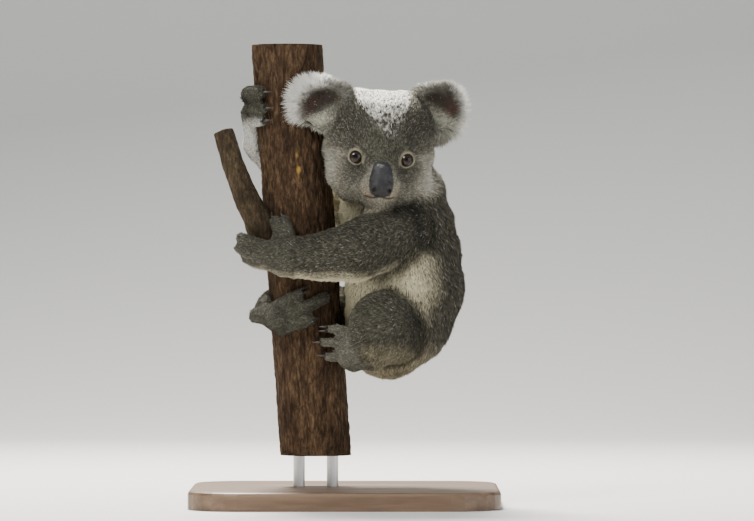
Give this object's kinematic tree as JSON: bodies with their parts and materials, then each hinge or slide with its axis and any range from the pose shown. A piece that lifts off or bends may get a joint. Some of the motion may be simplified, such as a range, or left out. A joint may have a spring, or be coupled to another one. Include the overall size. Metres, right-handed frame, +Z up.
{
  "type": "koala",
  "caption": "Young koala clinging to a cut length of leaning eucalypt trunk with a side branch, head turned to the viewer, on a plain display stand.",
  "frame": {"origin": "middle of the underside of the stand's base", "axes": "+Z up; the koala's chest faces -X, its left side faces -Y, and its face looks along -Y"},
  "size_m": [0.37, 0.33, 0.552],
  "materials": {
    "fur_grey": "soft grizzled fur",
    "fur_cream": "soft grizzled fur, cream in front",
    "nose_leather": "fine-grained, satin",
    "eye_brown": "wet gloss",
    "claw_horn": "horn, satin",
    "bark": "rough fibrous bark",
    "stand_wood": "oiled",
    "stand_steel": "brushed"
  },
  "bodies": {
    "root": {"claw_foot_left_combing_toe_a": "claw_horn", "claw_foot_left_combing_toe_b": "claw_horn", "claw_foot_left_fifth_toe": "claw_horn", "claw_foot_left_fourth_toe": "claw_horn", "claw_foot_right_combing_toe_a": "claw_horn", "claw_foot_right_combing_toe_b": "claw_horn", "claw_foot_right_fifth_toe": "claw_horn", "claw_foot_right_fourth_toe": "claw_horn", "claw_hand_left_forefinger": "claw_horn", "claw_hand_left_little": "claw_horn", "claw_hand_left_middle": "claw_horn", "claw_hand_left_ring": "claw_horn", "claw_hand_left_thumb": "claw_horn", "claw_hand_right_forefinger": "claw_horn", "claw_hand_right_little": "claw_horn", "claw_hand_right_middle": "claw_horn", "claw_hand_right_ring": "claw_horn", "claw_hand_right_thumb": "claw_horn", "ear_left": "fur_grey", "ear_right": "fur_grey", "eye_left": "eye_brown", "eye_right": "eye_brown", "foot_left": "fur_grey", "foot_right": "fur_grey", "forearm_left": "fur_grey", "forearm_right": "fur_grey", "hand_left": "fur_grey", "hand_right": "fur_grey", "head": "fur_grey", "neck": "fur_grey", "nose": "nose_leather", "perch_branch": "bark", "perch_trunk": "bark", "shin_left": "fur_grey", "shin_right": "fur_grey", "stand_base": "stand_wood", "stand_rod_left": "stand_steel", "stand_rod_right": "stand_steel", "thigh_left": "fur_grey", "thigh_right": "fur_grey", "torso": "fur_cream", "upper_arm_left": "fur_grey", "upper_arm_right": "fur_grey"}
  },
  "joints": []
}
